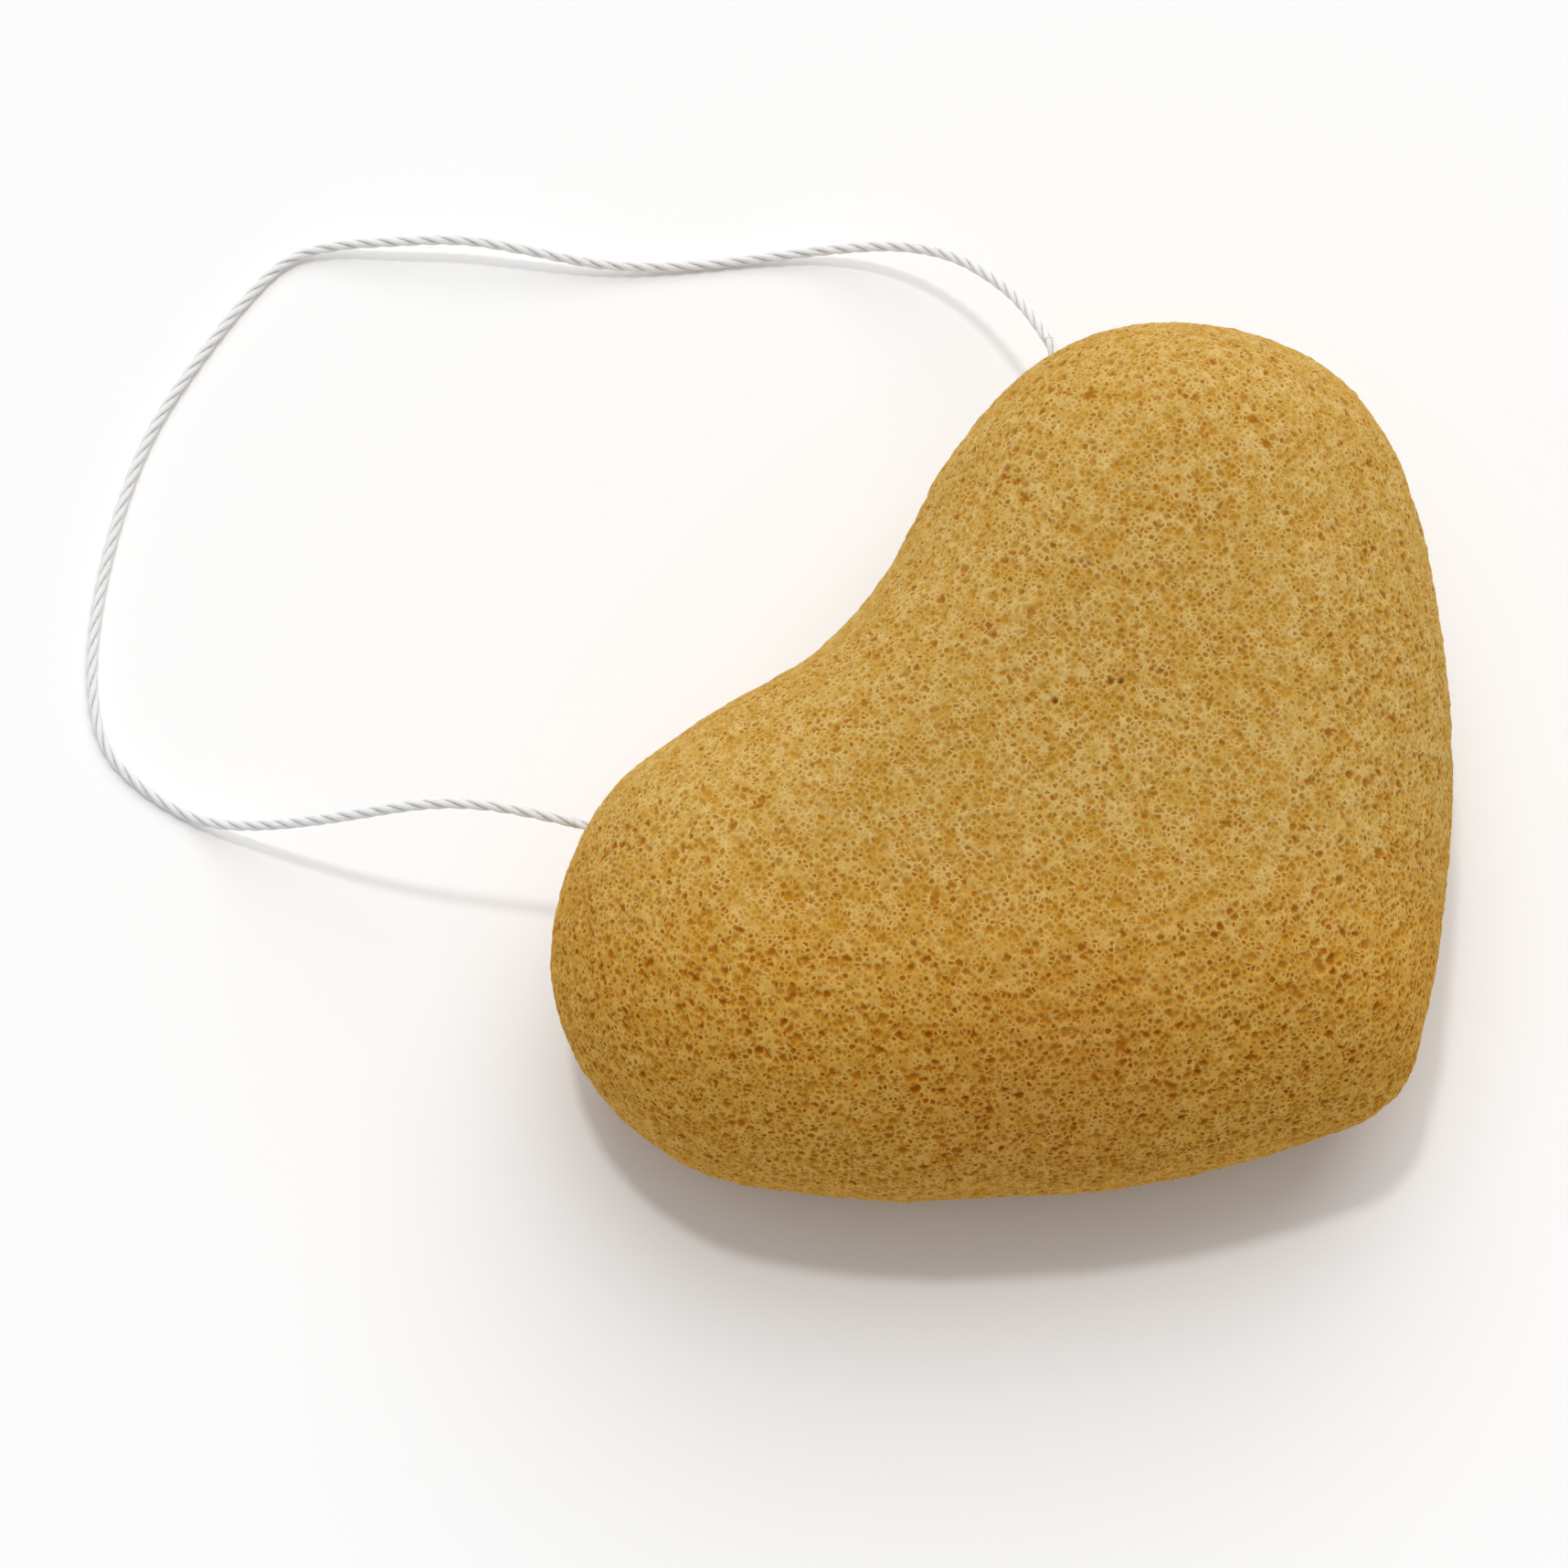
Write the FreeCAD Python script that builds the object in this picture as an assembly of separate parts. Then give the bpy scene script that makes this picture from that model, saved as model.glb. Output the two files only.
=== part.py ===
import FreeCAD, Part
import math
import os

# Heart-shaped konjac sponge with a cotton string tied through it.
# Millimetres. +Z up from the flat base, +X from lobe to lobe, +Y from the tip to the notch.
# The origin is the middle of the foam's box, on the base.

# Foam body
sponge_width = 80.0
sponge_length = 59.0
sponge_height = 30.5
belt_height = 14.0
lobe_radius = 18.5
shoulder_radius = 31.5
shoulder_end_deg = 93.0
notch_radius = 33.0
flank_radius = 85.0
tip_radius = 8.5
crown_land_radius = 3.0
base_inset = 10.0
crown_turn_shares = (0.25, 0.5, 0.72, 0.88, 1.0)
base_turn_shares = (0.9, 0.62, 0.32)

# Cotton string
string_diameter = 0.9
string_fit = 0.1
exit_half_spacing = 27.1
exit_offset = 1.5
exit_lean_deg = 25.0
pivot_clearance = 0.9
pivot_gap = 0.08
string_lie = 0.5
arc_run_share = 0.45

# Knot where the two ends of the string meet inside the foam
knot_length = 3.6
knot_diameter = 3.0
knot_end_diameter = 1.4
tail_length = 5.0
tail_turn_deg = 18.0

# Cut through the wall and beyond
overrun = 1.5

# Line of the free string between its two pivots, from the left lobe round to the right one
string_route = [
    (-27.1, 32.8, 14.5),
    (-29.3, 36.1, 15.0),
    (-31.8, 39.5, 14.2),
    (-34.3, 42.9, 11.4),
    (-36.8, 46.6, 7.8),
    (-39.4, 51.2, 3.4),
    (-41.6, 55.7, string_lie),
    (-42.6, 61.0, string_lie),
    (-42.1, 65.9, string_lie),
    (-38.8, 70.3, string_lie),
    (-33.9, 74.3, string_lie),
    (-27.7, 78.2, string_lie),
    (-20.5, 81.6, string_lie),
    (-12.9, 83.2, string_lie),
    (-6.6, 84.0, string_lie),
    (-1.8, 84.0, string_lie),
    (1.3, 81.7, 1.2),
    (4.3, 78.2, 2.1),
    (7.9, 74.2, 2.7),
    (10.8, 69.9, 2.3),
    (14.2, 64.8, 1.1),
    (18.5, 60.3, string_lie),
    (23.2, 56.2, string_lie),
    (27.6, 52.0, 1.5),
    (30.5, 47.6, 4.0),
    (31.7, 42.9, 6.9),
    (31.4, 38.3, 9.5),
    (30.3, 34.0, 12.0),
]

vertical = FreeCAD.Vector(0, 0, 1)
string_radius = string_diameter / 2
exit_lean = math.radians(exit_lean_deg)
pivot_y = sponge_length / 2 + pivot_clearance
inner_radius = exit_half_spacing / math.cos(exit_lean)
inner_sweep_deg = 90 - exit_lean_deg
inner_centre = FreeCAD.Vector(exit_offset, pivot_y + inner_radius * math.sin(exit_lean), belt_height)
knot_centre = inner_centre - FreeCAD.Vector(0, inner_radius, 0)
knot_half_angle_deg = math.degrees(knot_length / 2 / inner_radius)


def point_on(centre, radius, angle):
    return centre + FreeCAD.Vector(radius * math.cos(angle), radius * math.sin(angle), 0)


def arc_about(centre, radius, start, end):
    middle = (start + end) / 2
    ends = (point_on(centre, radius, start), point_on(centre, radius, end))
    return Part.Arc(ends[0], point_on(centre, radius, middle), ends[1]).toShape()


def bearing(origin, target):
    return math.atan2(target.y - origin.y, target.x - origin.x)


def flank_centre_for(lobe_centre, tip_centre):
    # Centre of the large arc that touches the lobe and the tip from outside both
    lobe_reach = flank_radius - lobe_radius
    tip_reach = flank_radius - tip_radius
    span = tip_centre - lobe_centre
    along = (lobe_reach ** 2 - tip_reach ** 2 + span.Length ** 2) / (2 * span.Length)
    across = math.sqrt(lobe_reach ** 2 - along ** 2)
    step = FreeCAD.Vector(span)
    step.normalize()
    side = FreeCAD.Vector(step.y, -step.x, 0)
    return lobe_centre + step * along + side * across


def mirrored(centre):
    return FreeCAD.Vector(-centre.x, centre.y, centre.z)


def heart_outline(inset, height):
    # Eight tangent arcs: notch, shoulder, lobe, flank, tip and back up the other side
    lobe_y = sponge_length / 2 - lobe_radius
    lobe = FreeCAD.Vector(sponge_width / 2 - lobe_radius, lobe_y, height)
    tip_start = FreeCAD.Vector(0, tip_radius - sponge_length / 2, height)
    shoulder_end = math.radians(shoulder_end_deg)
    shoulder = point_on(lobe, lobe_radius - shoulder_radius, shoulder_end)
    notch_rise = math.sqrt((shoulder_radius + notch_radius) ** 2 - shoulder.x ** 2)
    notch = FreeCAD.Vector(0, shoulder.y + notch_rise, height)
    flank = flank_centre_for(lobe, tip_start)
    tip_drop = math.sqrt((flank_radius - inset - tip_radius) ** 2 - flank.x ** 2)
    tip = FreeCAD.Vector(0, flank.y - tip_drop, height)

    notch_end = bearing(notch, shoulder)
    shoulder_start = bearing(shoulder, notch)
    flank_start = bearing(flank, lobe)
    flank_end = bearing(flank, tip)
    half_turn = math.pi
    edges = [
        arc_about(notch, notch_radius + inset, -half_turn - notch_end, notch_end),
        arc_about(shoulder, shoulder_radius - inset, shoulder_start, shoulder_end),
        arc_about(lobe, lobe_radius - inset, shoulder_end, flank_start),
        arc_about(flank, flank_radius - inset, flank_start, flank_end),
        arc_about(tip, tip_radius, flank_end, -half_turn - flank_end),
        arc_about(mirrored(flank), flank_radius - inset, -half_turn - flank_end, -half_turn - flank_start),
        arc_about(mirrored(lobe), lobe_radius - inset, half_turn - flank_start, half_turn - shoulder_end),
        arc_about(mirrored(shoulder), shoulder_radius - inset, half_turn - shoulder_end,
                  half_turn - shoulder_start),
    ]
    return Part.Wire(edges)


def foam_sections():
    # From the flat base out to the widest belt, then in over the crown, each a quarter of an ellipse
    sections = []
    for share in base_turn_shares:
        turn = share * math.pi / 2
        lift = math.sin(turn) / math.sin(base_turn_shares[0] * math.pi / 2)
        sections.append(heart_outline(base_inset * (1 - math.cos(turn)), belt_height * (1 - lift)))
    sections.append(heart_outline(0, belt_height))
    crown_rise = sponge_height - belt_height
    crown_inset = lobe_radius - crown_land_radius
    for share in crown_turn_shares:
        turn = share * math.pi / 2
        height = belt_height + crown_rise * math.sin(turn)
        sections.append(heart_outline(crown_inset * (1 - math.cos(turn)), height))
    return sections


def string_bore(radius, start_deg, sweep_deg):
    # A stretch of round bore or string along the curved needle path inside the foam
    start = math.radians(start_deg)
    ring = Part.Wire(Part.Circle(point_on(inner_centre, inner_radius, start),
                                 FreeCAD.Vector(-math.sin(start), math.cos(start), 0), radius).toShape())
    return Part.Face(ring).revolve(inner_centre, vertical, sweep_deg)


def knot_body(swell):
    # Barrel along X with bulging sides, drawn in at the two ends where the string leaves it
    half_length = knot_length / 2 + swell
    end_radius = knot_end_diameter / 2 + swell
    waist_radius = knot_diameter / 2 + swell
    left = knot_centre - FreeCAD.Vector(half_length, 0, 0)
    right = knot_centre + FreeCAD.Vector(half_length, 0, 0)
    left_rim = left + FreeCAD.Vector(0, end_radius, 0)
    right_rim = right + FreeCAD.Vector(0, end_radius, 0)
    top = knot_centre + FreeCAD.Vector(0, waist_radius, 0)
    profile = Part.Wire([
        Part.LineSegment(left, left_rim).toShape(),
        Part.Arc(left_rim, top, right_rim).toShape(),
        Part.LineSegment(right_rim, right).toShape(),
        Part.LineSegment(right, left).toShape(),
    ])
    return Part.Face(profile).revolve(knot_centre, FreeCAD.Vector(1, 0, 0), 360)


def knot_tails(swell):
    tails = []
    for side in (-1, 1):
        turn = math.radians(tail_turn_deg * side)
        heading = FreeCAD.Vector(math.sin(turn), -math.cos(turn), 0)
        start = knot_centre + FreeCAD.Vector(side * string_diameter, 0, 0)
        tails.append(Part.makeCylinder(string_radius + swell, tail_length + swell, start, heading))
    return tails


def knot(swell):
    solid = knot_body(swell)
    for tail in knot_tails(swell):
        solid = solid.fuse(tail)
    return solid.removeSplitter()


def sponge_body():
    foam = Part.makeLoft(foam_sections(), True, False)
    overrun_deg = math.degrees(overrun / inner_radius)
    bore_sweep = 2 * (inner_sweep_deg + overrun_deg)
    bore_start = -90 - inner_sweep_deg - overrun_deg
    bore = string_bore(string_radius + string_fit, bore_start, bore_sweep)
    return foam.cut(bore.fuse(knot(string_fit)))


def pivot(side):
    return FreeCAD.Vector(exit_offset + side * exit_half_spacing, pivot_y, belt_height)


def string_inner(side):
    # From the knot's end out of the foam to a rounded end at the pivot
    sweep = inner_sweep_deg - knot_half_angle_deg
    start = -90 + knot_half_angle_deg if side > 0 else -90 - inner_sweep_deg
    run = string_bore(string_radius, start, sweep)
    return run.fuse(Part.makeSphere(string_radius, pivot(side))).removeSplitter().cut(knot_body(0))


def rounded_path(points):
    # Straight runs joined by tangent arcs, each as large as its two runs allow
    edges = []
    radii = []
    start = points[0]
    for before, corner, after in zip(points, points[1:], points[2:]):
        back = before - corner
        ahead = after - corner
        trim = arc_run_share * min(back.Length, ahead.Length)
        half_turn = (math.pi - back.getAngle(ahead)) / 2
        radius = trim / math.tan(half_turn)
        back.normalize()
        ahead.normalize()
        bisector = back + ahead
        bisector.normalize()
        centre_distance = radius / math.cos(half_turn)
        entry = corner + back * trim
        leave = corner + ahead * trim
        middle = corner + bisector * (centre_distance - radius)
        edges.append(Part.LineSegment(start, entry).toShape())
        edges.append(Part.Arc(entry, middle, leave).toShape())
        radii.append(radius)
        start = leave
    edges.append(Part.LineSegment(start, points[-1]).toShape())
    return Part.Wire(edges), radii


def string_loop():
    # The free string starts just clear of the rounded ends that it swings on
    points = [pivot(-1)] + [FreeCAD.Vector(*place) for place in string_route] + [pivot(1)]
    for end, neighbour in ((0, 1), (-1, -2)):
        heading = points[neighbour] - points[end]
        heading.normalize()
        points[end] = points[end] + heading * (string_radius + pivot_gap)
    path, radii = rounded_path(points)
    ring = Part.Wire(Part.Circle(points[0], points[1] - points[0], string_radius).toShape())
    tube = path.makePipeShell([ring], True, True)
    section = math.pi * string_radius ** 2
    print("string length", round(path.Length, 2), "tightest radius", round(min(radii), 2))
    print("radii", [round(radius, 1) for radius in radii])
    print("tube volume over section times length", round(tube.Volume / (section * path.Length), 4))
    return tube


def main():
    os.makedirs("parts", exist_ok=True)
    parts = {
        "sponge_body": sponge_body(),
        "string_inner_left": string_inner(-1),
        "string_inner_right": string_inner(1),
        "string_knot": knot(0),
        "string_loop": string_loop(),
    }
    for name, shape in parts.items():
        print(name, "solids", len(shape.Solids), "valid", shape.isValid(), "volume", round(shape.Volume, 2))
        shape.exportStep("parts/" + name + ".step")


main()
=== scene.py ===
import math

import bmesh
import bpy
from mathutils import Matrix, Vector
from mathutils.bvhtree import BVHTree


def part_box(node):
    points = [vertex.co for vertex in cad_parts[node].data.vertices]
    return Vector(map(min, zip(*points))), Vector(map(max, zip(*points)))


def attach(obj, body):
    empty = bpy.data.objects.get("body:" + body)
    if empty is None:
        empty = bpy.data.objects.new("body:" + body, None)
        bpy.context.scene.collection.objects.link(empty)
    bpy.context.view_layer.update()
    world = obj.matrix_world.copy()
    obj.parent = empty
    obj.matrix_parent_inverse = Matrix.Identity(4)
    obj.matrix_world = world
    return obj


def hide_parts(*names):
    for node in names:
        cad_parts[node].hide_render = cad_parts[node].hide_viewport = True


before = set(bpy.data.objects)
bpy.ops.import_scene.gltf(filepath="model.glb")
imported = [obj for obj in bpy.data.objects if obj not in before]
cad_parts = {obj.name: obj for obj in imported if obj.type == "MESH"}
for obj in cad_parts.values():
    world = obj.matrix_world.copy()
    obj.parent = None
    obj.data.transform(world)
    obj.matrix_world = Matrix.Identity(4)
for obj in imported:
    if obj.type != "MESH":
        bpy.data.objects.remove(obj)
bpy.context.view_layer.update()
mm = 0.001

# Heart-shaped konjac sponge on a pale table, with its loop of cotton string.
# Sizes in the dictionaries are millimetres, angles are degrees.


def put(tree, kind, **settings):
    node = tree.nodes.new(kind)
    for name, value in settings.items():
        setattr(node, name, value)
    return node


def plug(tree, value, socket):
    if isinstance(value, bpy.types.NodeSocket):
        tree.links.new(value, socket)
    else:
        socket.default_value = value


def maths(tree, operation, *values, clamp=False):
    node = put(tree, "ShaderNodeMath", operation=operation, use_clamp=clamp)
    for value, socket in zip(values, node.inputs):
        plug(tree, value, socket)
    return node.outputs[0]


def vectors(tree, operation, *values, scale=None):
    node = put(tree, "ShaderNodeVectorMath", operation=operation)
    for value, socket in zip(values, node.inputs):
        plug(tree, value, socket)
    if scale is not None:
        plug(tree, scale, node.inputs["Scale"])
    return node.outputs["Value" if operation in ("LENGTH", "DISTANCE", "DOT_PRODUCT") else "Vector"]


def ramp(tree, value, low, high, start=0.0, end=1.0, kind="SMOOTHSTEP"):
    node = put(tree, "ShaderNodeMapRange", interpolation_type=kind)
    for name, given in (("Value", value), ("From Min", low), ("From Max", high), ("To Min", start), ("To Max", end)):
        plug(tree, given, node.inputs[name])
    return node.outputs["Result"]


def blendColour(tree, share, first, second, way="MIX"):
    node = put(tree, "ShaderNodeMix", data_type="RGBA", blend_type=way)
    plug(tree, share, node.inputs[0])
    plug(tree, first, node.inputs[6])
    plug(tree, second, node.inputs[7])
    return node.outputs[2]


def grain(tree, place, scale, detail=2.0, rough=0.5):
    node = put(tree, "ShaderNodeTexNoise", noise_dimensions="3D")
    for name, given in (("Vector", place), ("Scale", scale), ("Detail", detail), ("Roughness", rough)):
        plug(tree, given, node.inputs[name])
    return node


def centredGrain(tree, place, *noise):
    return maths(tree, "SUBTRACT", grain(tree, place, *noise).outputs[0], 0.5)


def stirPlace(tree, place, noise, reach):
    # each place moved a little by noise
    push = vectors(tree, "SUBTRACT", grain(tree, place, *noise).outputs["Color"], (0.5, 0.5, 0.5))
    return vectors(tree, "ADD", place, vectors(tree, "SCALE", push, scale=reach * mm))


def split(tree, vector):
    node = put(tree, "ShaderNodeSeparateXYZ")
    tree.links.new(vector, node.inputs[0])
    return node.outputs


def joined(tree, *values):
    node = put(tree, "ShaderNodeCombineXYZ")
    for value, socket in zip(values, node.inputs):
        plug(tree, value, socket)
    return node.outputs[0]


def setInputs(node, values):
    for name, value in values.items():
        node.inputs[name].default_value = value


def plainMesh(thing, name):
    # the evaluated object as a mesh of its own, with no modifiers
    bpy.context.view_layer.update()
    graph = bpy.context.evaluated_depsgraph_get()
    made = bpy.data.meshes.new_from_object(thing.evaluated_get(graph), preserve_all_data_layers=True, depsgraph=graph)
    made.name = name
    return made


def showMesh(mesh, name):
    thing = bpy.data.objects.new(name, mesh)
    bpy.context.scene.collection.objects.link(thing)
    return thing


def giveTree(thing, tree, values):
    modifier = thing.modifiers.new(tree.name, "NODES")
    modifier.node_group = tree
    sockets = {item.name: item.identifier for item in tree.interface.items_tree if item.in_out == "INPUT"}
    for name, value in values.items():
        modifier[sockets[name]] = value


def newTree(name, inputs):
    tree = bpy.data.node_groups.new(name, "GeometryNodeTree")
    tree.interface.new_socket(name="Geometry", in_out="INPUT", socket_type="NodeSocketGeometry")
    for label, kind in inputs:
        tree.interface.new_socket(name=label, in_out="INPUT", socket_type="NodeSocket" + kind)
    tree.interface.new_socket(name="Geometry", in_out="OUTPUT", socket_type="NodeSocketGeometry")
    return tree, put(tree, "NodeGroupInput").outputs, put(tree, "NodeGroupOutput").inputs[0]


def keepOnMesh(tree, geometry, name, value, kind, domain):
    node = put(tree, "GeometryNodeStoreNamedAttribute", data_type=kind, domain=domain)
    node.inputs["Name"].default_value = name
    tree.links.new(geometry, node.inputs["Geometry"])
    tree.links.new(value, node.inputs["Value"])
    return node.outputs[0]


def keepOnCurve(tree, geometry, name, value):
    node = put(tree, "GeometryNodeCaptureAttribute", domain="POINT")
    node.capture_items.new("FLOAT", name)
    tree.links.new(geometry, node.inputs["Geometry"])
    tree.links.new(value, node.inputs[name])
    return node.outputs["Geometry"], node.outputs[name]


def endTree(tree, geometry, material, result):
    smooth = put(tree, "GeometryNodeSetShadeSmooth")
    tree.links.new(geometry, smooth.inputs["Geometry"])
    whole = put(tree, "GeometryNodeRealizeInstances")
    tree.links.new(smooth.outputs[0], whole.inputs["Geometry"])
    dressed = put(tree, "GeometryNodeSetMaterial")
    tree.links.new(whole.outputs[0], dressed.inputs["Geometry"])
    tree.links.new(material, dressed.inputs["Material"])
    tree.links.new(dressed.outputs[0], result)


def newMaterial(name, roughness, specular):
    made = bpy.data.materials.new(name)
    made.use_nodes = True
    tree = made.node_tree
    shader = next(node for node in tree.nodes if node.type == "BSDF_PRINCIPLED")
    setInputs(shader, {"Roughness": roughness, "Specular IOR Level": specular})
    return made, tree, shader


# Camera, from a fit of the foam's outline to the photograph
view = {
    "target": (-12.9, 20.456, 15.0),
    "azimuth": -47.75,
    "elevation": 68.5,
    "distance": 600.0,
    "lens": 181.77,
    "sensor": 36.0,
    "clip": (10.0, 20000.0),
}


def makeCamera():
    turn, rise = math.radians(view["azimuth"]), math.radians(view["elevation"])
    back = Vector((math.sin(turn) * math.cos(rise), -math.cos(turn) * math.cos(rise), math.sin(rise)))
    data = bpy.data.cameras.new("camera")
    data.sensor_width = view["sensor"]
    data.lens = view["lens"]
    data.clip_start, data.clip_end = (reach * mm for reach in view["clip"])
    camera = bpy.data.objects.new("camera", data)
    camera.location = (Vector(view["target"]) + back * view["distance"]) * mm
    camera.rotation_mode = "QUATERNION"
    camera.rotation_quaternion = (-back).to_track_quat("-Z", "Y")
    bpy.context.scene.collection.objects.link(camera)
    bpy.context.scene.camera = camera


makeCamera()
print("camera placed")

# Cotton string: its free loop, its two ends inside the foam and the knot that ties them
cotton = {
    "diameter": 0.9,
    "plies": 3,
    "plyShare": 0.59,      # plies are pressed into each other
    "pitch": 5.0,          # one full turn of a ply
    "step": 0.16,          # rings along a ply
    "sides": 8,
    "wobble": 0.1,         # how uneven the plies are
    "length": 160.0,
    "seed": 3.0,
    "unevenAlong": 300.0,  # how soon a ply's unevenness changes along it, per metre
    "unevenBetween": 11.0,
    "roughness": 0.9,
    "specular": 0.2,
    "sheen": 0.25,
    "sheenRoughness": 0.6,
    "soak": 0.5,           # how far light goes into the loose cotton
    "soakShare": 0.8,
    "fibreSlant": 24.0,    # fibres run round each ply at a slant
    "fibreStretch": (9.0, 2.2, 1.0),
    "fibreNoise": (3.0, 3.0, 0.6),
    "fibreShare": 0.7,     # the rest of the shading is in patches
    "patchNoise": (420.0, 2.0),
    "shadeRange": (0.36, 0.62),
    "lift": 0.3,
    "liftDepth": 0.06,
    "pale": (0.97, 0.965, 0.955, 1.0),
    "shade": (0.91, 0.9, 0.885, 1.0),
    "exitOffset": 1.5,
    "exitHalfSpacing": 27.1,
    "exitLean": 25.0,
    "pivotY": 30.4,
    "pivotZ": 14.0,
    "lineSteps": 12,
    "innerSteps": 12,
    "knotLength": 3.6,
    "knotSteps": 16,
    "knotTurns": 2.05,
    "knotSpread": (0.11, 0.35, 0.5),
    "tailLength": 5.0,
    "tailTurn": 18.0,
    "loop": [
        (-25.6, 30.4, 14.0), (-27.1, 32.8, 14.5), (-29.3, 36.1, 15.0), (-31.8, 39.5, 14.2), (-34.3, 42.9, 11.4),
        (-36.8, 46.6, 7.8), (-39.4, 51.2, 3.4), (-41.6, 55.7, 0.5), (-42.6, 61.0, 0.5), (-42.1, 65.9, 0.5),
        (-38.8, 70.3, 0.5), (-33.9, 74.3, 0.5), (-27.7, 78.2, 0.5), (-20.5, 81.6, 0.5), (-12.9, 83.2, 0.5),
        (-6.6, 84.0, 0.5), (-1.8, 84.0, 0.5), (1.3, 81.7, 1.2), (4.3, 78.2, 2.1), (7.9, 74.2, 2.7),
        (10.8, 69.9, 2.3), (14.2, 64.8, 1.1), (18.5, 60.3, 0.5), (23.2, 56.2, 0.5), (27.6, 52.0, 1.5),
        (30.5, 47.6, 4.0), (31.7, 42.9, 6.9), (31.4, 38.3, 9.5), (30.3, 34.0, 12.0), (28.6, 30.4, 14.0),
    ],
}
innerRadius = cotton["exitHalfSpacing"] / math.cos(math.radians(cotton["exitLean"]))
innerRise = innerRadius * math.sin(math.radians(cotton["exitLean"]))
innerCentre = Vector((cotton["exitOffset"], cotton["pivotY"] + innerRise, cotton["pivotZ"]))
knotCentre = innerCentre - Vector((0, innerRadius, 0))


def makeCotton():
    made, tree, shader = newMaterial("cottonString", cotton["roughness"], cotton["specular"])
    along = put(tree, "ShaderNodeUVMap", uv_map="fibreMap").outputs[0]
    turned = put(tree, "ShaderNodeMapping")
    setInputs(turned, {"Rotation": (0.0, 0.0, math.radians(cotton["fibreSlant"])), "Scale": cotton["fibreStretch"]})
    tree.links.new(along, turned.inputs["Vector"])
    fibre = grain(tree, turned.outputs[0], *cotton["fibreNoise"]).outputs[0]
    place = put(tree, "ShaderNodeTexCoord").outputs["Object"]
    patch = grain(tree, place, *cotton["patchNoise"]).outputs[0]
    share = maths(tree, "ADD", maths(tree, "MULTIPLY", fibre, cotton["fibreShare"]),
                  maths(tree, "MULTIPLY", patch, 1.0 - cotton["fibreShare"]))
    colour = blendColour(tree, ramp(tree, share, *cotton["shadeRange"]), cotton["shade"], cotton["pale"])
    tree.links.new(colour, shader.inputs["Base Color"])
    lift = put(tree, "ShaderNodeBump")
    setInputs(lift, {"Strength": cotton["lift"], "Distance": cotton["liftDepth"] * mm})
    tree.links.new(fibre, lift.inputs["Height"])
    tree.links.new(lift.outputs[0], shader.inputs["Normal"])
    setInputs(shader, {
        "Sheen Weight": cotton["sheen"], "Sheen Roughness": cotton["sheenRoughness"],
        "Subsurface Weight": cotton["soakShare"], "Subsurface Radius": (1.0, 1.0, 1.0),
        "Subsurface Scale": cotton["soak"] * mm})
    return made


def makePlyTree():
    # twists round strands about a guide line
    tree, given, result = newTree("twistedString", [
        ("Plies", "Int"), ("Pitch", "Float"), ("Step", "Float"), ("Ply Radius", "Float"), ("Lay Radius", "Float"),
        ("Sides", "Int"), ("Wobble", "Float"), ("Seed", "Float"), ("Material", "Material")])
    guide = put(tree, "GeometryNodeMeshToCurve")
    tree.links.new(given["Geometry"], guide.inputs["Mesh"])
    even = put(tree, "GeometryNodeResampleCurve", mode="LENGTH")
    tree.links.new(guide.outputs[0], even.inputs["Curve"])
    tree.links.new(given["Step"], even.inputs["Length"])
    copies = put(tree, "GeometryNodeDuplicateElements", domain="SPLINE")
    tree.links.new(even.outputs[0], copies.inputs["Geometry"])
    tree.links.new(given["Plies"], copies.inputs["Amount"])
    reach = put(tree, "GeometryNodeSplineParameter").outputs["Length"]
    share = maths(tree, "DIVIDE", copies.outputs["Duplicate Index"], given["Plies"])
    turns = maths(tree, "ADD", maths(tree, "DIVIDE", reach, given["Pitch"]), share)
    angle = maths(tree, "MULTIPLY", turns, 2 * math.pi)
    heading = put(tree, "GeometryNodeInputTangent").outputs[0]
    side = put(tree, "GeometryNodeInputNormal").outputs[0]
    other = vectors(tree, "CROSS_PRODUCT", heading, side)
    spot = joined(tree, maths(tree, "MULTIPLY", reach, cotton["unevenAlong"]),
                  maths(tree, "MULTIPLY", share, cotton["unevenBetween"]), given["Seed"])
    unevenness = centredGrain(tree, spot, 1.0)
    swell = maths(tree, "MULTIPLY_ADD", unevenness, maths(tree, "MULTIPLY", given["Wobble"], 2.0), 1.0)
    lay = maths(tree, "MULTIPLY", given["Lay Radius"], swell)
    across = vectors(tree, "SCALE", side, scale=maths(tree, "MULTIPLY", lay, maths(tree, "COSINE", angle)))
    upward = vectors(tree, "SCALE", other, scale=maths(tree, "MULTIPLY", lay, maths(tree, "SINE", angle)))
    strands = put(tree, "GeometryNodeSetPosition")
    tree.links.new(copies.outputs["Geometry"], strands.inputs["Geometry"])
    tree.links.new(vectors(tree, "ADD", across, upward), strands.inputs["Offset"])
    # how far along and how far round each point is, for the fibres
    reach = put(tree, "GeometryNodeSplineParameter").outputs["Length"]
    line, along = keepOnCurve(tree, strands.outputs[0], "Along", reach)
    ring = put(tree, "GeometryNodeCurvePrimitiveCircle")
    tree.links.new(given["Sides"], ring.inputs["Resolution"])
    tree.links.new(given["Ply Radius"], ring.inputs["Radius"])
    turn = put(tree, "GeometryNodeSplineParameter").outputs["Factor"]
    profile, around = keepOnCurve(tree, ring.outputs[0], "Round", turn)
    tube = put(tree, "GeometryNodeCurveToMesh")
    tree.links.new(line, tube.inputs["Curve"])
    tree.links.new(profile, tube.inputs["Profile Curve"])
    tube.inputs["Fill Caps"].default_value = True
    chart = joined(tree, around, maths(tree, "MULTIPLY", along, 1.0 / mm))
    charted = keepOnMesh(tree, tube.outputs[0], "fibreMap", chart, "FLOAT2", "CORNER")
    endTree(tree, charted, given["Material"], result)
    return tree


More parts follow.
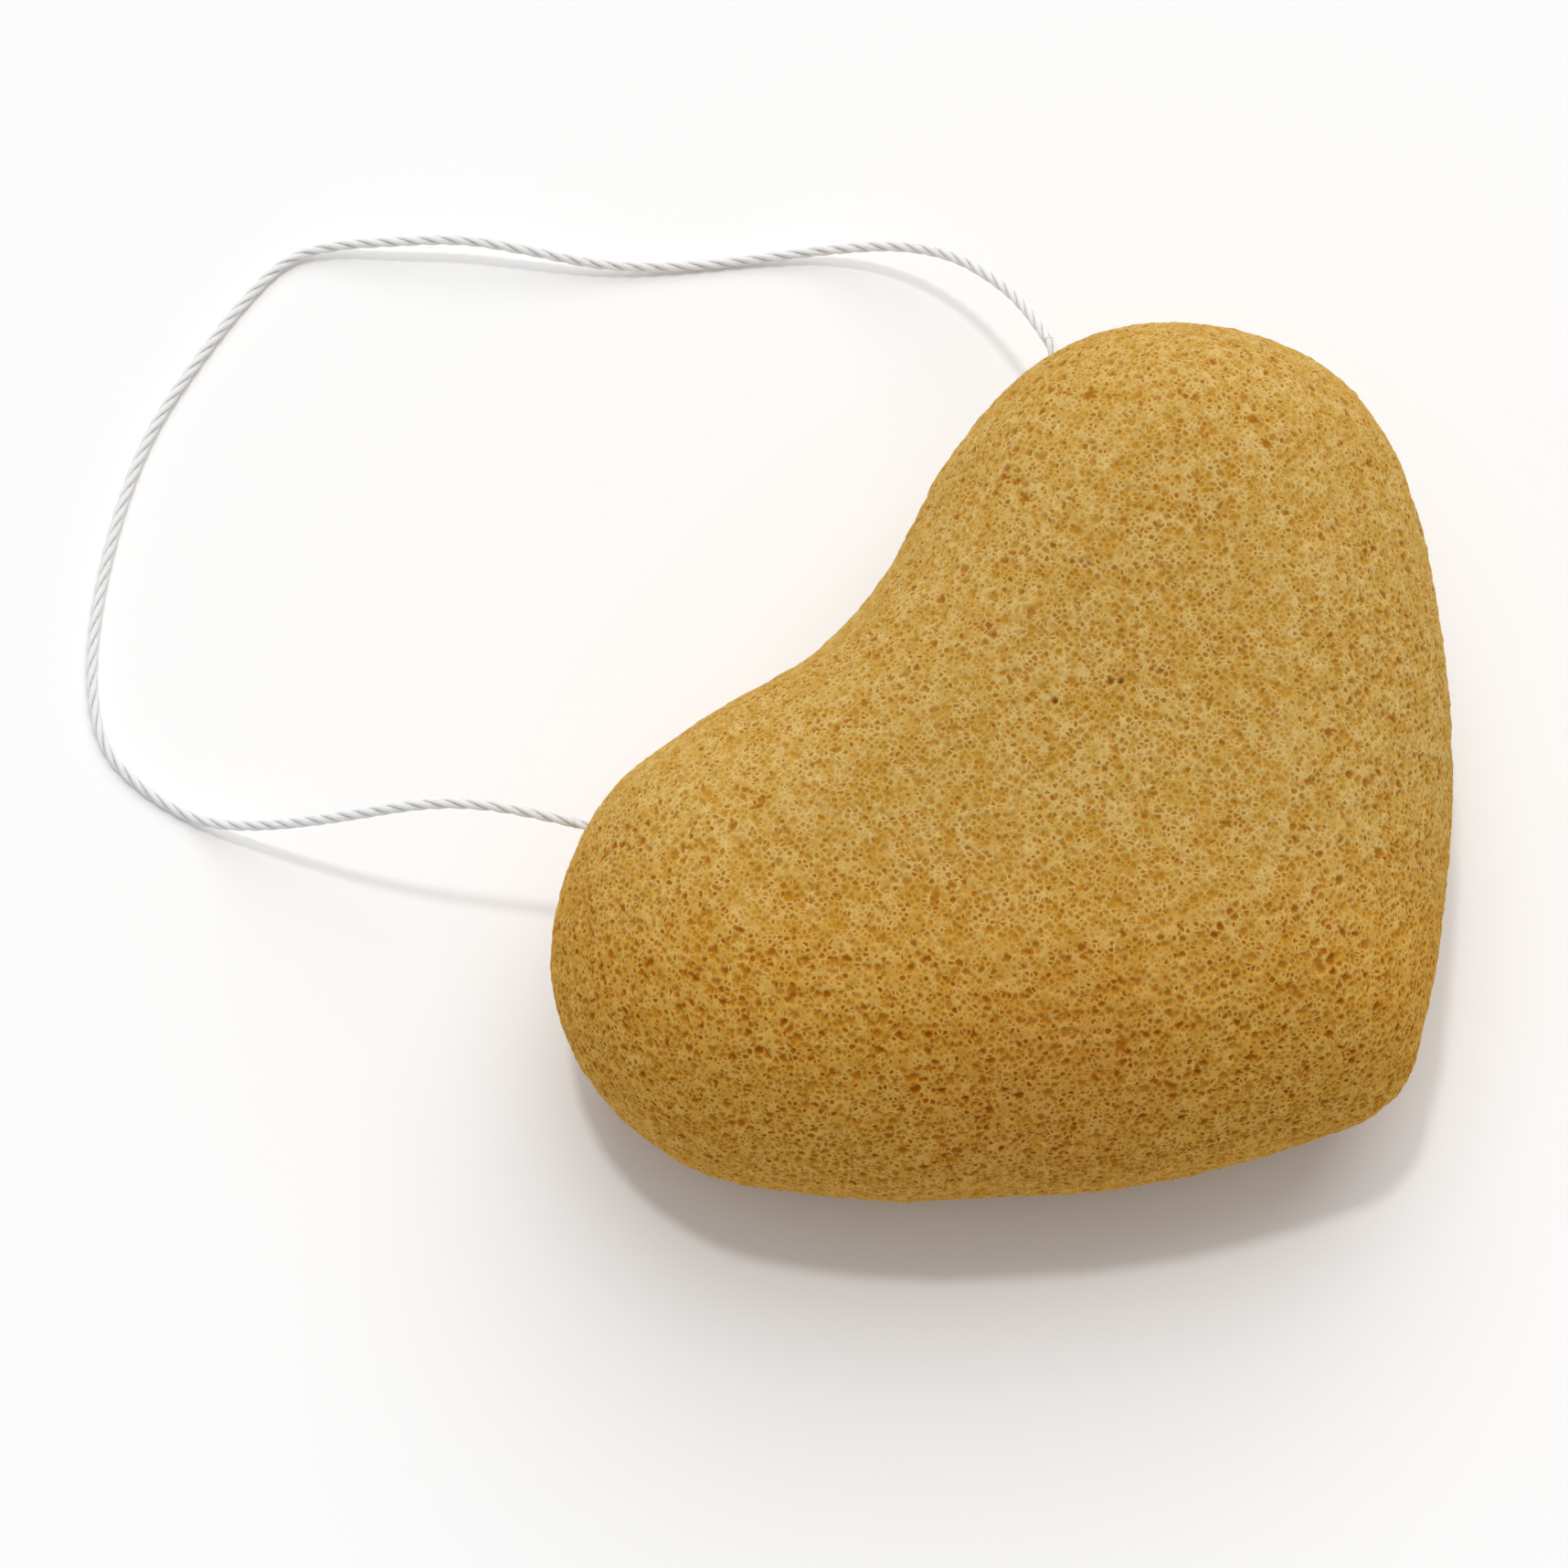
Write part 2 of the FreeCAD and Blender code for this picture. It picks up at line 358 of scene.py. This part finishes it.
def routeLine(points, name):
    # the smooth line through a route, read off a curve that has no thickness
    data = bpy.data.curves.new(name, "CURVE")
    data.dimensions = "3D"
    data.resolution_u = cotton["lineSteps"]
    spline = data.splines.new("NURBS")
    spline.points.add(len(points) - 1)
    for point, place in zip(spline.points, points):
        point.co = (*(Vector(place) * mm), 1.0)
    spline.order_u = 3
    spline.use_endpoint_u = True
    thing = bpy.data.objects.new(name, data)
    bpy.context.scene.collection.objects.link(thing)
    mesh = plainMesh(thing, name)
    bpy.data.objects.remove(thing)
    line = [vertex.co.copy() for vertex in mesh.vertices]
    bpy.data.meshes.remove(mesh)
    return line


def twistString(lines, name, tree, material):
    guideMesh = bpy.data.meshes.new(name + "Guide")
    spots, links = [], []
    for line in lines:
        links += [(len(spots) + at, len(spots) + at + 1) for at in range(len(line) - 1)]
        spots += line
    guideMesh.from_pydata(spots, links, [])
    guide = showMesh(guideMesh, name + "Guide")
    radius = cotton["diameter"] / 2 * mm
    plyRadius = radius * cotton["plyShare"]
    giveTree(guide, tree, {
        "Plies": cotton["plies"], "Pitch": cotton["pitch"] * mm, "Step": cotton["step"] * mm,
        "Ply Radius": plyRadius, "Lay Radius": radius - plyRadius, "Sides": cotton["sides"],
        "Wobble": cotton["wobble"], "Seed": cotton["seed"], "Material": material})
    made = showMesh(plainMesh(guide, name), name)
    bpy.data.objects.remove(guide)
    bpy.data.meshes.remove(guideMesh)
    print(name, len(made.data.polygons), "faces")
    return made


def lineLength(line):
    return sum((b - a).length for a, b in zip(line, line[1:]))


def innerPoints(side):
    # one end of the string inside the foam, from the knot out to its exit
    first = math.degrees(cotton["knotLength"] / 2 / innerRadius)
    last = 90.0 - cotton["exitLean"]
    steps = cotton["innerSteps"]
    points = []
    for step in range(steps + 1):
        angle = math.radians(-90.0 + side * (first + (last - first) * step / steps))
        points.append(innerCentre + innerRadius * Vector((math.cos(angle), math.sin(angle), 0.0)))
    return points


def knotPoints():
    # an overhand knot between the two ends
    half = Vector((cotton["knotLength"] / 2, 0.0, 0.0))
    along, across, high = cotton["knotSpread"]
    steps = cotton["knotSteps"]
    points = [knotCentre - half]
    for step in range(steps + 1):
        t = cotton["knotTurns"] * (2 * step / steps - 1)
        crossing = (along * (t ** 5 - 10 * t), across * (t ** 4 - 4 * t * t + 2), high * (t ** 3 - 3 * t))
        points.append(knotCentre + Vector(crossing))
    return points + [knotCentre + half]


def tailPoints(side):
    turn = math.radians(cotton["tailTurn"] * side)
    start = knotCentre + Vector((side * cotton["diameter"], 0.0, 0.0))
    tail = Vector((math.sin(turn), -math.cos(turn), 0.0)) * cotton["tailLength"]
    return [start + tail * share for share in (0.0, 0.5, 1.0)]


cottonMaterial = makeCotton()
plyTree = makePlyTree()
loopLine = routeLine(cotton["loop"], "loopLine")
stringLoop = twistString([loopLine], "stringLoop", plyTree, cottonMaterial)
stringInnerLeft = twistString([routeLine(innerPoints(-1), "leftLine")], "stringInnerLeft", plyTree, cottonMaterial)
stringInnerRight = twistString([routeLine(innerPoints(1), "rightLine")], "stringInnerRight", plyTree, cottonMaterial)
knotLines = [routeLine(points, "knotLine") for points in (knotPoints(), tailPoints(-1), tailPoints(1))]
stringKnot = twistString(knotLines, "stringKnot", plyTree, cottonMaterial)
print("free string", round(lineLength(loopLine) / mm, 1), "mm")

# Foam
foam = {
    "merge": 0.001,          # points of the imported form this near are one
    "voxel": 0.64,
    "smoothing": 10,
    "smoothShare": 0.5,
    "levels": 2,
    "boreReach": 0.95,       # faces this near the string's channel are left out of the skin
    "pocketReach": 8.0,
    "sway": 0.32,
    "swayNoise": (55.0, 1.0),
    "ripple": 0.18,
    "rippleNoise": (300.0, 3.0, 0.6),
    "crumb": 0.14,           # fine roughness that the outline shows
    "crumbNoise": (850.0, 1.0),
    "footClear": (0.3, 4.0),     # the foot stays flat up to the first height
    # broad swells and hollows of the sides, at a bearing from the foam's middle and a height
    "swells": [
        {"bearing": 150.0, "height": 13.0, "radius": 14.0, "rise": 0.55},
        {"bearing": 100.0, "height": 20.0, "radius": 8.0, "rise": -0.4},
        {"bearing": 120.0, "height": 20.0, "radius": 9.0, "rise": -0.3},
        {"bearing": 70.0, "height": 17.0, "radius": 8.0, "rise": 0.35},
        {"bearing": 30.0, "height": 21.0, "radius": 11.0, "rise": -0.4},
        {"bearing": -5.0, "height": 17.0, "radius": 10.0, "rise": 0.2},
        {"bearing": 180.0, "height": 11.0, "radius": 8.0, "rise": -0.35},
        {"bearing": 205.0, "height": 11.0, "radius": 8.0, "rise": -0.4},
        {"bearing": 270.0, "height": 13.0, "radius": 7.0, "rise": 0.4},
        {"bearing": 305.0, "height": 16.0, "radius": 8.0, "rise": -0.2},
    ],
    "seed": 5.0,
    "warp": 0.2,
    "warpNoise": (900.0, 1.0),
    "sink": 1.0,
    # how a bubble is cut: its ball in shares of a cell, then its lip, its edges and the strands round it
    "bubble": {
        "randomness": 0.85, "ball": 0.8, "ballSlope": 0.8, "rounding": 0.22, "lipLeast": 0.4, "lipRange": 1.2,
        "edgeDepth": 0.24, "edgeMask": 0.17, "closedStrand": 0.4, "strandEdge": 0.13,
    },
    # cell: size of a bubble, wall: share of it that is wall, presence: share that the surface opens,
    # sunk: depth over size, least and most: how strongly the painted shade of the pore colours fills it
    "layers": {
        "large": {"cell": 1.0, "wall": 0.15, "presence": 0.1, "sunk": 0.27, "least": 0.4, "most": 0.85},
        "middle": {"cell": 0.72, "wall": 0.1, "presence": 0.7, "sunk": 0.28, "least": 0.34, "most": 0.95},
        "small": {"cell": 0.42, "wall": 0.08, "presence": 0.92, "sunk": 0.28, "least": 0.32, "most": 0.9},
    },
    # single dents: open pits and a slit on top, two chips at the tip, a dimple round each exit of the string; the
    # last value of each is how much painted shade darkens it
    "pits": [
        {"at": (5.5, 3.5), "radius": 0.36, "depth": 0.45, "dentShade": 1.0},
        {"at": (5.0, 4.0), "radius": 0.34, "depth": 0.4, "dentShade": 0.9},
        {"at": (4.5, 2.5), "radius": 0.28, "depth": 0.3, "dentShade": 0.6},
        {"at": (1.0, 6.0), "radius": 0.32, "depth": 0.4, "dentShade": 1.0},
        {"at": (0.0, 9.5), "radius": 0.3, "depth": 0.3, "dentShade": 0.5},
    ],
    "slit": {"from": (10.0, 13.0), "to": (11.0, 11.5), "steps": 3, "radius": 0.26, "depth": 0.3, "dentShade": 0.8},
    "chips": [
        {"bearing": 269.0, "height": 11.5, "radius": 0.9, "depth": 0.6, "dentShade": 0.2},
        {"bearing": 267.0, "height": 10.0, "radius": 0.8, "depth": 0.5, "dentShade": 0.2},
    ],
    "dimple": {"radius": 1.6, "depth": 0.8, "dentShade": 0.3},
    "dentCore": 0.3,         # share of a dent's radius that is flat
    "stir": 0.4,             # how ragged a dent's rim is
    "stirNoise": (1100.0, 2.0),
    # the colour of the painted shade in pits, slit, chips and dimples
    "pit": (0.2, 0.065, 0.003, 1.0),
    "belt": 14.0,
    "chartSize": 158.0,      # width of foam that the picture chart holds
    "chartSpread": 9.0,      # how far the steep sides are laid out
    "mottleNoise": (700.0, 4.0, 0.65),
    "mottleRange": (0.38, 0.64),
    "strandRange": (0.35, 0.65),
    "strands": (0.25, 0.55),
    "deepFrom": 0.5,         # bubbles past this chance value have a deep bottom
    "roughness": 0.9,
    "specular": 0.06,
    "sheen": 0.25,
    "sheenRoughness": 0.5,
    "sheenTint": (1.0, 0.6, 0.12, 1.0),
    # painted shade: the front and the lower side, lit mostly by light bounced through the foam, are drawn darker and
    # fuller in colour, with stronger pore colour
    "frontShadeTone": (1.03, 0.885, 0.58, 1.0),
    "frontShadeAlong": (-0.74, -0.67, -0.8),
    "frontShadeStart": -22.0,
    "frontShadeFull": -2.0,
    "frontShadePores": (0.92, 1.1),
    # painted light: the rim is drawn paler than the middle; painted shade: one patch at the front is drawn darker
    "rimLightReach": (40.0, 29.5),
    "rimLightRange": (0.35, 1.05),
    "rimLightTone": (0.97, 1.09),
    # painted shade patch on the front
    "patch": (0.97, 0.91, 0.9, 1.0),
    "shadePatchAt": (-21.0, -13.0, 24.0),
    "shadePatchRadius": 14.0,
    "shadePatchCore": 0.3,
    "wall": (0.505, 0.287, 0.05, 1.0),
    "cream": (0.57, 0.375, 0.115, 1.0),
    "strand": (0.715, 0.535, 0.21, 1.0),
    # pore and deep: painted shade, the darker and fuller colour that light takes bounced inside the open bubbles
    "pore": (0.435, 0.192, 0.004, 1.0),
    "deep": (0.31, 0.095, 0.001, 1.0),
}


def foamRay():
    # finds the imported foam's outside, at a bearing and a height or straight down on its top
    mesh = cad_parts["sponge_body"].data
    surface = BVHTree.FromPolygons([vertex.co for vertex in mesh.vertices],
                                   [face.vertices for face in mesh.polygons])
    outside = 2 * max(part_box("sponge_body")[1])

    def onSide(bearing, height):
        turn = math.radians(bearing)
        outward = Vector((math.cos(turn), math.sin(turn), 0.0))
        return surface.ray_cast(outward * outside + Vector((0.0, 0.0, height * mm)), -outward)[0]

    def onTop(x, y):
        return surface.ray_cast(Vector((x * mm, y * mm, outside)), Vector((0.0, 0.0, -1.0)))[0]

    return onSide, onTop


def foamDents(onSide, onTop):
    # each dent's place on the foam and its own values
    dents = [(onTop(*pit["at"]), pit) for pit in foam["pits"]]
    slit = foam["slit"]
    first, last = Vector(slit["from"]), Vector(slit["to"])
    dents += [(onTop(*first.lerp(last, step / slit["steps"])), slit) for step in range(slit["steps"] + 1)]
    dents += [(onSide(chip["bearing"], chip["height"]), chip) for chip in foam["chips"]]
    return dents + [(Vector(cotton["loop"][end]) * mm, foam["dimple"]) for end in (0, -1)]


def poreLayer(kind):
    # bubbles cut open by the surface: how deep, where, the strands between them and a chance value each
    group = bpy.data.node_groups.new("poreLayer", kind)
    for label, socket in (("Place", "Vector"), ("Cell", "Float"), ("Wall", "Float"), ("Presence", "Float")):
        group.interface.new_socket(name=label, in_out="INPUT", socket_type="NodeSocket" + socket)
    for label in ("Depth", "Mask", "Strand", "Tone"):
        group.interface.new_socket(name=label, in_out="OUTPUT", socket_type="NodeSocketFloat")
    given = put(group, "NodeGroupInput").outputs
    result = put(group, "NodeGroupOutput").inputs
    finest = maths(group, "DIVIDE", 1.0, given["Cell"])
    cells = put(group, "ShaderNodeTexVoronoi", voronoi_dimensions="3D", feature="F1", distance="EUCLIDEAN")
    walls = put(group, "ShaderNodeTexVoronoi", voronoi_dimensions="3D", feature="DISTANCE_TO_EDGE")
    bubble = foam["bubble"]
    for node in (cells, walls):
        node.inputs["Randomness"].default_value = bubble["randomness"]
        group.links.new(given["Place"], node.inputs["Vector"])
        group.links.new(finest, node.inputs["Scale"])
    chance = split(group, cells.outputs["Color"])
    edge = walls.outputs["Distance"]
    # a ball in each cell rounds its corners off
    inBall = maths(group, "SUBTRACT", bubble["ball"], cells.outputs["Distance"])
    room = maths(group, "SMOOTH_MIN", edge, maths(group, "MULTIPLY", inBall, bubble["ballSlope"]), bubble["rounding"])
    opened = maths(group, "LESS_THAN", chance[1], given["Presence"])
    thickness = maths(group, "MULTIPLY_ADD", chance[0], bubble["lipRange"], bubble["lipLeast"])
    lip = maths(group, "MULTIPLY", given["Wall"], thickness)
    for name in ("Depth", "Mask"):
        inside = ramp(group, room, lip, maths(group, "ADD", lip, bubble["edge" + name]))
        group.links.new(maths(group, "MULTIPLY", opened, inside), result[name])
    shown = maths(group, "MULTIPLY_ADD", opened, 1.0 - bubble["closedStrand"], bubble["closedStrand"])
    strand = ramp(group, edge, 0.0, bubble["strandEdge"], 1.0, 0.0)
    group.links.new(maths(group, "MULTIPLY", shown, strand), result["Strand"])
    group.links.new(chance[2], result["Tone"])
    return group


def placeLayers(tree, nodeKind, group, place, names):
    warped = stirPlace(tree, place, foam["warpNoise"], foam["warp"])
    layers = {}
    for name in names:
        node = put(tree, nodeKind, node_tree=group)
        spec = foam["layers"][name]
        shift = (foam["seed"] * spec["cell"] * mm, 0.0, 0.0)
        tree.links.new(vectors(tree, "ADD", warped, shift), node.inputs["Place"])
        setInputs(node, {"Cell": spec["cell"] * mm, "Wall": spec["wall"], "Presence": spec["presence"]})
        layers[name] = node.outputs
    return layers


def chartFoam(tree, geometry, place, outward, height):
    # picture chart: the upper and the lower half, each seen from straight above with its steep sides laid out
    steep = maths(tree, "SUBTRACT", 1.0, maths(tree, "ABSOLUTE", split(tree, outward)[2]))
    spread = maths(tree, "MULTIPLY", steep, foam["chartSpread"] * mm)
    laid = split(tree, vectors(tree, "ADD", place, vectors(tree, "SCALE", outward, scale=spread)))
    perFace = put(tree, "GeometryNodeFieldOnDomain", data_type="FLOAT", domain="FACE")
    tree.links.new(height, perFace.inputs[0])
    upper = maths(tree, "GREATER_THAN", perFace.outputs[0], foam["belt"] * mm)
    size = foam["chartSize"] * mm
    column = maths(tree, "ADD", maths(tree, "DIVIDE", laid[0], size), 0.5)
    middle = maths(tree, "MULTIPLY_ADD", upper, 0.5, 0.25)
    row = maths(tree, "ADD", maths(tree, "DIVIDE", laid[1], size), middle)
    return keepOnMesh(tree, geometry, "OFBake", joined(tree, column, row), "FLOAT2", "CORNER")


def makeFoamTree():
    tree, given, result = newTree("openFoam", [
        ("Sway", "Float"), ("Ripple", "Float"), ("Crumb", "Float"), ("Sink", "Float"), ("Material", "Material")])
    place = put(tree, "GeometryNodeInputPosition").outputs[0]
    outward = put(tree, "GeometryNodeInputNormal").outputs[0]
    names = ("large", "middle", "small")
    layers = placeLayers(tree, "GeometryNodeGroup", poreLayer("GeometryNodeTree"), place, names)
    stirred = stirPlace(tree, place, foam["stirNoise"], foam["stir"])
    onSide, onTop = foamRay()
    # each dent's depth, and how much painted shade darkens it
    depth, dentShade = 0.0, 0.0
    for spot, dent in foamDents(onSide, onTop):
        gap = vectors(tree, "DISTANCE", stirred, spot)
        near = ramp(tree, gap, dent["radius"] * foam["dentCore"] * mm, dent["radius"] * mm, 1.0, 0.0)
        depth = maths(tree, "MAXIMUM", depth, maths(tree, "MULTIPLY", near, dent["depth"] * mm))
        dentShade = maths(tree, "MAXIMUM", dentShade, maths(tree, "MULTIPLY", near, dent["dentShade"]))
    # the rest place, the wider pores and the dents' painted shade are kept on the mesh for the colours
    geometry = keepOnMesh(tree, given["Geometry"], "restPlace", place, "FLOAT_VECTOR", "POINT")
    for name in names:
        spec, layer = foam["layers"][name], layers[name]
        sunk = maths(tree, "MULTIPLY", layer["Depth"], spec["cell"] * spec["sunk"] * mm)
        depth = maths(tree, "MAXIMUM", depth, sunk)
        if name != "small":
            pores = joined(tree, layer["Mask"], layer["Tone"], dentShade)
            geometry = keepOnMesh(tree, geometry, name + "Pores", pores, "FLOAT_VECTOR", "POINT")
    height = split(tree, place)[2]
    geometry = chartFoam(tree, geometry, place, outward, height)
    swell = 0.0
    for label, noise in (("Sway", "swayNoise"), ("Ripple", "rippleNoise"), ("Crumb", "crumbNoise")):
        wave = maths(tree, "MULTIPLY", centredGrain(tree, place, *foam[noise]), given[label])
        swell = maths(tree, "ADD", swell, wave)
    swell = maths(tree, "MULTIPLY", swell, 2.0)
    for spec in foam["swells"]:
        gap = vectors(tree, "DISTANCE", place, onSide(spec["bearing"], spec["height"]))
        swell = maths(tree, "ADD", swell, ramp(tree, gap, 0.0, spec["radius"] * mm, spec["rise"] * mm, 0.0))
    clear = ramp(tree, height, *(level * mm for level in foam["footClear"]))
    inward = maths(tree, "MULTIPLY", depth, maths(tree, "MULTIPLY", given["Sink"], -1.0))
    moved = maths(tree, "ADD", maths(tree, "MULTIPLY", swell, clear), inward)
    shape = put(tree, "GeometryNodeSetPosition")
    tree.links.new(geometry, shape.inputs["Geometry"])
    tree.links.new(vectors(tree, "SCALE", outward, scale=moved), shape.inputs["Offset"])
    endTree(tree, shape.outputs[0], given["Material"], result)
    return tree


def makeFoamMaterial():
    made, tree, shader = newMaterial("konjacFoam", foam["roughness"], foam["specular"])
    place = put(tree, "ShaderNodeAttribute", attribute_name="restPlace").outputs["Vector"]
    small = placeLayers(tree, "ShaderNodeGroup", poreLayer("ShaderNodeTree"), place, ("small",))["small"]
    pores = [("small", small["Mask"], small["Tone"])]
    for name in ("middle", "large"):
        kept = put(tree, "ShaderNodeAttribute", attribute_name=name + "Pores").outputs["Vector"]
        mask, tone, dentShade = split(tree, kept)
        pores.append((name, mask, tone))
    # painted shade: the front and lower side drawn darker and fuller, with stronger pore colour
    along = vectors(tree, "DOT_PRODUCT", place, foam["frontShadeAlong"])
    frontShade = ramp(tree, along, foam["frontShadeStart"] * mm, foam["frontShadeFull"] * mm)
    frontPoreShade = ramp(tree, frontShade, 0.0, 1.0, *foam["frontShadePores"], "LINEAR")
    mottle = grain(tree, place, *foam["mottleNoise"]).outputs[0]
    colour = blendColour(tree, ramp(tree, mottle, *foam["mottleRange"]), foam["wall"], foam["cream"])
    # each open bubble is drawn in the painted shade of the pore colours, stronger at the front
    for name, mask, tone in pores:
        spec = foam["layers"][name]
        bottom = blendColour(tree, ramp(tree, tone, foam["deepFrom"], 1.0), foam["pore"], foam["deep"])
        share = maths(tree, "MULTIPLY", mask, ramp(tree, tone, 0.0, 1.0, spec["least"], spec["most"], "LINEAR"))
        colour = blendColour(tree, maths(tree, "MULTIPLY", share, frontPoreShade, clamp=True), colour, bottom)
        if name == "small":
            patchy = ramp(tree, mottle, *foam["strandRange"], *foam["strands"])
            colour = blendColour(tree, maths(tree, "MULTIPLY", small["Strand"], patchy), colour, foam["strand"])
    # painted shade in the dents
    colour = blendColour(tree, dentShade, colour, foam["pit"])
    colour = blendColour(tree, frontShade, colour, foam["frontShadeTone"], "MULTIPLY")
    # painted shade: a darker patch on the front
    gap = vectors(tree, "DISTANCE", place, Vector(foam["shadePatchAt"]) * mm)
    near = ramp(tree, gap, foam["shadePatchRadius"] * foam["shadePatchCore"] * mm, foam["shadePatchRadius"] * mm, 1.0, 0.0)
    colour = blendColour(tree, near, colour, foam["patch"], "MULTIPLY")
    # painted light: the rim drawn paler than the middle
    reach = [1.0 / (size * mm) for size in foam["rimLightReach"]]
    fromMiddle = vectors(tree, "LENGTH", vectors(tree, "MULTIPLY", place, (*reach, 0.0)))
    rim = ramp(tree, fromMiddle, *foam["rimLightRange"], *foam["rimLightTone"])
    tree.links.new(vectors(tree, "SCALE", colour, scale=rim), shader.inputs["Base Color"])
    setInputs(shader, {"Sheen Weight": foam["sheen"], "Sheen Roughness": foam["sheenRoughness"],
                       "Sheen Tint": foam["sheenTint"]})
    return made


def foamSkin():
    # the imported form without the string's channel, as an even mesh of small faces
    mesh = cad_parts["sponge_body"].data.copy()
    bm = bmesh.new()
    bm.from_mesh(mesh)
    bmesh.ops.remove_doubles(bm, verts=bm.verts, dist=foam["merge"] * mm)
    lost = []
    for face in bm.faces:
        spot = face.calc_center_median() / mm
        flat = Vector((spot.x - innerCentre.x, spot.y - innerCentre.y, 0.0))
        fromArc = math.hypot(flat.length - innerRadius, spot.z - innerCentre.z)
        if fromArc < foam["boreReach"] or (spot - knotCentre).length < foam["pocketReach"]:
            lost.append(face)
    bmesh.ops.delete(bm, geom=lost, context="FACES")
    bmesh.ops.holes_fill(bm, edges=[edge for edge in bm.edges if edge.is_boundary], sides=0)
    bmesh.ops.triangulate(bm, faces=[face for face in bm.faces if len(face.verts) > 4])
    bmesh.ops.recalc_face_normals(bm, faces=bm.faces)
    bm.to_mesh(mesh)
    bm.free()
    skin = showMesh(mesh, "foamSkin")
    even = skin.modifiers.new("even", "REMESH")
    even.mode = "VOXEL"
    even.voxel_size = foam["voxel"] * mm
    soft = skin.modifiers.new("soft", "SMOOTH")
    soft.factor = foam["smoothShare"]
    soft.iterations = foam["smoothing"]
    finer = skin.modifiers.new("finer", "SUBSURF")
    finer.levels = finer.render_levels = foam["levels"]
    made = plainMesh(skin, "foamSkinEven")
    bpy.data.objects.remove(skin)
    bpy.data.meshes.remove(mesh)
    return made


def makeFoam():
    skin = showMesh(foamSkin(), "foamEven")
    giveTree(skin, makeFoamTree(), {
        "Sway": foam["sway"] * mm, "Ripple": foam["ripple"] * mm, "Crumb": foam["crumb"] * mm,
        "Sink": foam["sink"], "Material": makeFoamMaterial()})
    made = showMesh(plainMesh(skin, "spongeFoam"), "spongeFoam")
    old = skin.data
    bpy.data.objects.remove(skin)
    bpy.data.meshes.remove(old)
    print("foam", len(made.data.polygons), "faces")
    return made


spongeFoam = makeFoam()

# Table and light
studio = {
    "tableHalf": 3000.0,
    "floor": (0.9, 0.9, 0.9, 1.0),
    "floorGlow": 0.045,
    "sky": 0.46,
    "lamps": [
        {"name": "key", "strength": 0.62, "angle": 4.5, "rise": 79.0, "turn": 30.0},
        {"name": "overhead", "strength": 0.25, "angle": 60.0, "rise": 88.0, "turn": 0.0},
        {"name": "behind", "strength": 1.37, "angle": 60.0, "rise": 55.0, "turn": -14.0},
        {"name": "low", "strength": 0.2, "angle": 60.0, "rise": 35.0, "turn": 0.0},
    ],
}


def seenDirectly(tree):
    # 1 for what the camera, a mirror or glass shows, 0 for light on its way
    ray = put(tree, "ShaderNodeLightPath").outputs
    return maths(tree, "MAXIMUM", maths(tree, "MAXIMUM", ray["Is Camera Ray"], ray["Is Glossy Ray"]),
                 ray["Is Transmission Ray"])


def makeTable():
    mesh = bpy.data.meshes.new("table")
    half = studio["tableHalf"] * mm
    mesh.from_pydata([(-half, -half, 0), (half, -half, 0), (half, half, 0), (-half, half, 0)], [], [(0, 1, 2, 3)])
    table = showMesh(mesh, "table")
    made = bpy.data.materials.new("paleTable")
    made.use_nodes = True
    tree = made.node_tree
    tree.nodes.clear()
    matte = put(tree, "ShaderNodeBsdfDiffuse")
    matte.inputs["Color"].default_value = studio["floor"]
    glow = put(tree, "ShaderNodeEmission")
    glow.inputs["Strength"].default_value = studio["floorGlow"]
    both = put(tree, "ShaderNodeAddShader")
    tree.links.new(matte.outputs[0], both.inputs[0])
    tree.links.new(glow.outputs[0], both.inputs[1])
    choose = put(tree, "ShaderNodeMixShader")
    tree.links.new(seenDirectly(tree), choose.inputs[0])
    tree.links.new(matte.outputs[0], choose.inputs[1])
    tree.links.new(both.outputs[0], choose.inputs[2])
    tree.links.new(choose.outputs[0], put(tree, "ShaderNodeOutputMaterial").inputs["Surface"])
    mesh.materials.append(made)


def makeSky():
    world = bpy.data.worlds.new("studio")
    bpy.context.scene.world = world
    world.use_nodes = True
    tree = world.node_tree
    tree.nodes.clear()
    sky = put(tree, "ShaderNodeBackground")
    strength = ramp(tree, seenDirectly(tree), 0.0, 1.0, studio["sky"], 1.0, "LINEAR")
    tree.links.new(strength, sky.inputs["Strength"])
    tree.links.new(sky.outputs[0], put(tree, "ShaderNodeOutputWorld").inputs["Surface"])


def makeLamps():
    for lamp in studio["lamps"]:
        data = bpy.data.lights.new(lamp["name"], "SUN")
        data.energy = lamp["strength"]
        data.angle = math.radians(lamp["angle"])
        thing = bpy.data.objects.new(lamp["name"], data)
        # turn 0 is straight behind the object, seen from the camera
        turn, rise = math.radians(view["azimuth"] + lamp["turn"]), math.radians(lamp["rise"])
        toLamp = Vector((-math.sin(turn) * math.cos(rise), math.cos(turn) * math.cos(rise), math.sin(rise)))
        thing.rotation_mode = "QUATERNION"
        thing.rotation_quaternion = toLamp.to_track_quat("Z", "Y")
        bpy.context.scene.collection.objects.link(thing)


bpy.context.scene.view_settings.view_transform = "Standard"
makeTable()
makeSky()
makeLamps()
print("table and light placed")

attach(spongeFoam, "sponge")
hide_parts("sponge_body")
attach(stringLoop, "loop")
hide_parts("string_loop")
for piece, node in ((stringInnerLeft, "string_inner_left"), (stringInnerRight, "string_inner_right"),
                    (stringKnot, "string_knot")):
    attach(piece, "sponge")
    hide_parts(node)
